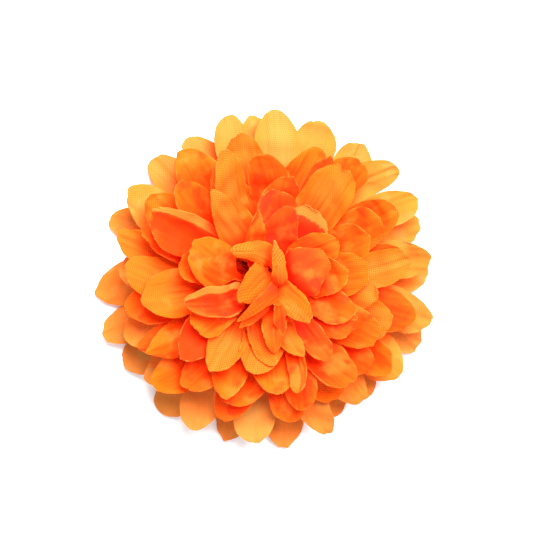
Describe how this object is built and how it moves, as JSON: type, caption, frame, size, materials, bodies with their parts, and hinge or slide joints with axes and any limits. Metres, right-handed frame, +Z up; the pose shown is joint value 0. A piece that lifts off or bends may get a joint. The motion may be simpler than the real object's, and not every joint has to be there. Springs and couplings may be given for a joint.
{
  "type": "artificial chrysanthemum flower head",
  "caption": "Domed cloth chrysanthemum head: stacked die-cut petal rosettes on a centre pin with a flat back collar, for craft and display.",
  "frame": {"origin": "centre of the back collar's flat underside, the face that the head lies on", "axes": "+Z up out of the bloom's face along the centre pin; +Y towards the top edge of the picture, +X towards its right edge"},
  "size_m": [0.0986, 0.101, 0.0421],
  "materials": {
    "outer_cloth": "plain-weave polyester, dyed yellow orange",
    "middle_cloth": "plain-weave polyester, dyed orange",
    "heart_cloth": "plain-weave polyester, dyed coral orange",
    "green_plastic": "moulded, matt"
  },
  "bodies": {
    "root": {"petal_layer_1": "outer_cloth", "petal_layer_2": "outer_cloth", "petal_layer_3": "middle_cloth", "petal_layer_4": "middle_cloth", "petal_layer_5": "middle_cloth", "petal_layer_6": "heart_cloth", "petal_layer_7": "heart_cloth", "petal_layer_8": "heart_cloth", "centre_pin": "green_plastic", "back_collar": "green_plastic"}
  },
  "joints": []
}
